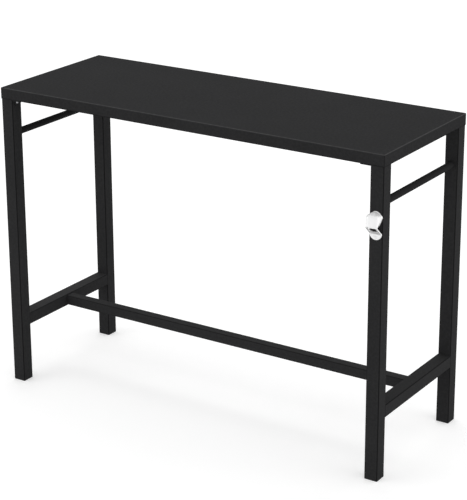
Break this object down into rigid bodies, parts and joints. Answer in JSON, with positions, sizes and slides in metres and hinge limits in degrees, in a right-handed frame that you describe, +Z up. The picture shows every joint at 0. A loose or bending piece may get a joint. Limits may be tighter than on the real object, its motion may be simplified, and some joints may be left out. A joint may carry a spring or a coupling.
{
  "type": "outdoor bar table",
  "caption": "Narrow outdoor bar table: a rectangular steel top on two welded side frames, with a low footrest bar, side rails for hooks and a bottle opener on one leg.",
  "frame": {"origin": "on the floor, midway between the four feet", "axes": "+X to the right along the table's length, +Y to the back, +Z up; the bottle opener faces -Y"},
  "size_m": [1.372, 0.5416, 1],
  "materials": {
    "powder_coat": "black powder coat, satin, with a very fine grain",
    "foot_plastic": "black moulded plastic, matt",
    "zinc": "bright zinc plate",
    "chrome": "bright chrome over a smooth casting"
  },
  "bodies": {
    "root": {"tabletop": "powder_coat", "brace_left": "powder_coat", "brace_middle": "powder_coat", "brace_right": "powder_coat", "leg_front_left": "powder_coat", "leg_front_right": "powder_coat", "leg_back_left": "powder_coat", "leg_back_right": "powder_coat", "top_bar_left": "powder_coat", "top_bar_right": "powder_coat", "stretcher_left": "powder_coat", "stretcher_right": "powder_coat", "hanging_rail_left": "powder_coat", "hanging_rail_right": "powder_coat", "footrest_bar": "powder_coat", "footrest_stub_left": "powder_coat", "footrest_stub_right": "powder_coat", "footrest_bolts": "zinc", "footrest_nuts": "zinc", "foot_front_left": "foot_plastic", "foot_front_right": "foot_plastic", "foot_back_left": "foot_plastic", "foot_back_right": "foot_plastic", "bracket_front_left": "powder_coat", "bracket_front_right": "powder_coat", "bracket_back_left": "powder_coat", "bracket_back_right": "powder_coat", "leg_bolts": "zinc", "leg_inserts": "zinc", "tabletop_bolts": "zinc", "tabletop_nuts": "zinc", "bottle_opener": "chrome", "opener_screws": "chrome", "opener_inserts": "zinc"}
  },
  "joints": []
}
